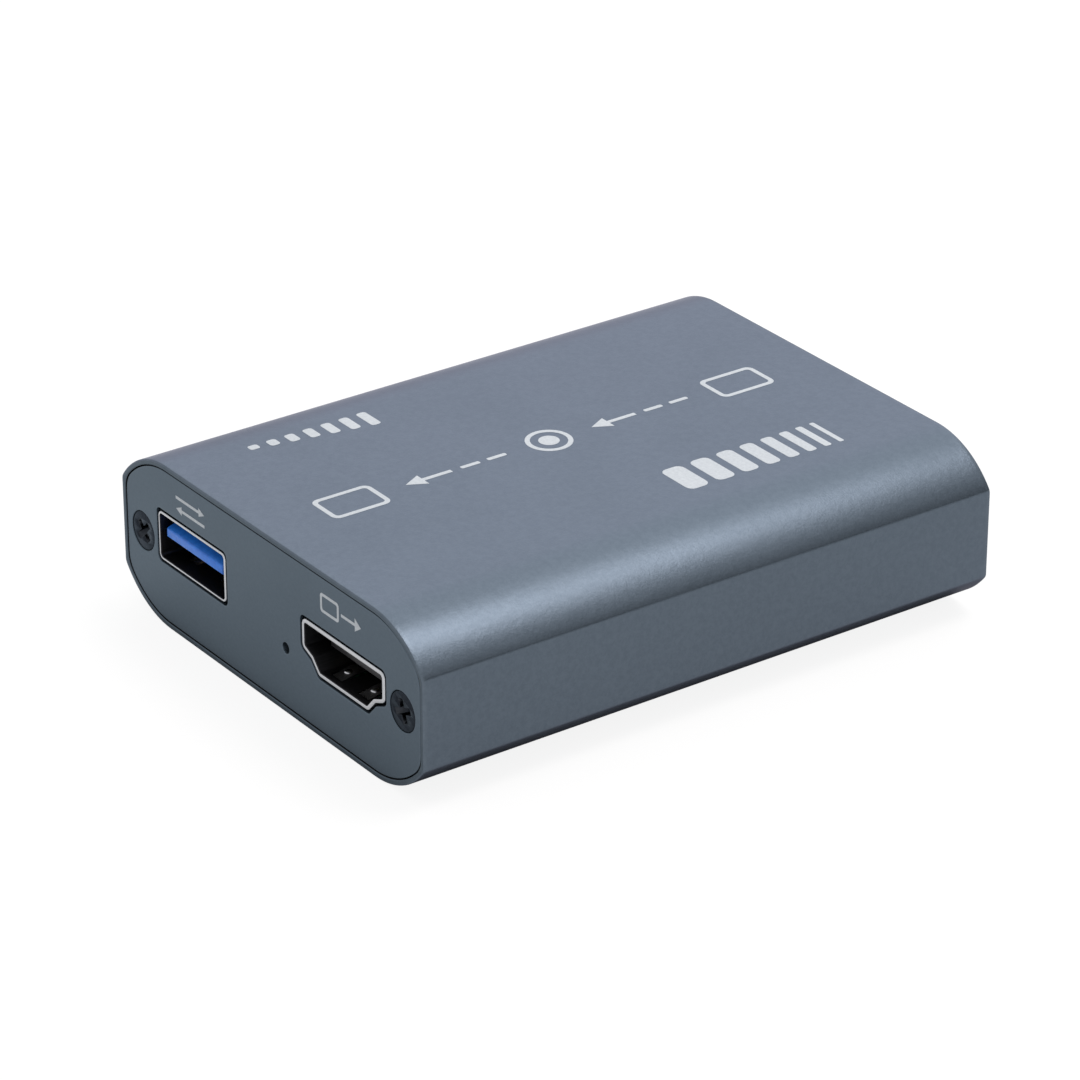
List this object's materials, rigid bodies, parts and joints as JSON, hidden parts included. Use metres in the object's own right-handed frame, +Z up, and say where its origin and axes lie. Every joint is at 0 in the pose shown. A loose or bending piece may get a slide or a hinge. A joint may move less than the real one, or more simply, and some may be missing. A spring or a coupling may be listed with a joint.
{
  "type": "video capture box",
  "caption": "Flat metal box with rounded corners that captures video: sprung data and video sockets in screwed end plates, and a circuit board inside.",
  "frame": {"origin": "under the middle of the sleeve, on the surface that it stands on", "axes": "+X to the right seen from the front, +Y from the front plate to the rear plate, +Z up"},
  "size_m": [0.057, 0.073, 0.0194],
  "materials": {
    "anodised_sleeve": "satin blue-grey anodised",
    "anodised_plate": "matt blue-grey anodised",
    "black_steel": "black oxide",
    "plated_steel": "bright nickel plate",
    "contact_gold": "gold flash",
    "blue_plastic": "moulded",
    "black_plastic": "moulded",
    "board_laminate": "solder mask",
    "chip_package": "moulded epoxy",
    "thermal_tape": "matt",
    "heat_sink": "black anodised",
    "tinned_leads": "tinned",
    "ferrite": "sintered",
    "capacitor_can": "satin",
    "fuse_body": "coated",
    "ceramic": "fired ceramic with tinned ends",
    "light_body": "moulded",
    "light_lens": "clear"
  },
  "bodies": {
    "box": {"sleeve": "anodised_sleeve", "front_plate": "anodised_plate", "rear_plate": "anodised_plate", "front_plate_screws": "black_steel", "rear_plate_screws": "black_steel", "main_board": "board_laminate", "data_socket_shell": "plated_steel", "data_socket_insulator": "blue_plastic", "data_socket_contacts": "contact_gold", "video_out_shell": "plated_steel", "video_out_insulator": "black_plastic", "video_out_contacts": "contact_gold", "video_in_shell": "plated_steel", "video_in_insulator": "black_plastic", "video_in_contacts": "contact_gold", "capture_chip": "chip_package", "thermal_tape": "thermal_tape", "heat_sink": "heat_sink", "loop_chip": "chip_package", "memory_chip": "chip_package", "memory_chip_leads": "tinned_leads", "voltage_regulators": "chip_package", "regulator_leads": "tinned_leads", "power_inductors": "ferrite", "bulk_capacitors": "capacitor_can", "bulk_capacitor_bases": "black_plastic", "supply_fuse": "fuse_body", "crystals": "plated_steel", "ceramic_capacitors": "ceramic", "resistors": "chip_package", "surge_arrays": "chip_package", "status_light_body": "light_body", "status_light_lens": "light_lens"},
    "data_contacts": {"data_socket_sprung_contacts": "contact_gold"},
    "data_upper_fingers": {"data_socket_upper_fingers": "plated_steel"},
    "data_lower_fingers": {"data_socket_lower_fingers": "plated_steel"},
    "output_upper_fingers": {"video_out_upper_fingers": "plated_steel"},
    "output_lower_fingers": {"video_out_lower_fingers": "plated_steel"},
    "input_upper_fingers": {"video_in_upper_fingers": "plated_steel"},
    "input_lower_fingers": {"video_in_lower_fingers": "plated_steel"}
  },
  "joints": [
    {"name": "data_contacts_flex", "type": "hinge", "parent": "box", "child": "data_contacts", "pos_m": [-0.0148, -0.0272, 0.01104], "axis": [-1, 0, 0], "range_deg": [0, 5], "stiffness_Nm_per_rad": 0.15},
    {"name": "data_upper_flex", "type": "hinge", "parent": "box", "child": "data_upper_fingers", "pos_m": [-0.0148, -0.0342, 0.0134], "axis": [1, 0, 0], "range_deg": [0, 8], "stiffness_Nm_per_rad": 0.12},
    {"name": "data_lower_flex", "type": "hinge", "parent": "box", "child": "data_lower_fingers", "pos_m": [-0.0148, -0.0342, 0.008], "axis": [-1, 0, 0], "range_deg": [0, 8], "stiffness_Nm_per_rad": 0.12},
    {"name": "output_upper_flex", "type": "hinge", "parent": "box", "child": "output_upper_fingers", "pos_m": [0.0139, -0.0354, 0.01224], "axis": [1, 0, 0], "range_deg": [0, 8], "stiffness_Nm_per_rad": 0.12},
    {"name": "output_lower_flex", "type": "hinge", "parent": "box", "child": "output_lower_fingers", "pos_m": [0.0139, -0.0354, 0.00736], "axis": [-1, 0, 0], "range_deg": [0, 8], "stiffness_Nm_per_rad": 0.12},
    {"name": "input_upper_flex", "type": "hinge", "parent": "box", "child": "input_upper_fingers", "pos_m": [0.0139, 0.0354, 0.01224], "axis": [-1, 0, 0], "range_deg": [0, 8], "stiffness_Nm_per_rad": 0.12},
    {"name": "input_lower_flex", "type": "hinge", "parent": "box", "child": "input_lower_fingers", "pos_m": [0.0139, 0.0354, 0.00736], "axis": [1, 0, 0], "range_deg": [0, 8], "stiffness_Nm_per_rad": 0.12}
  ]
}
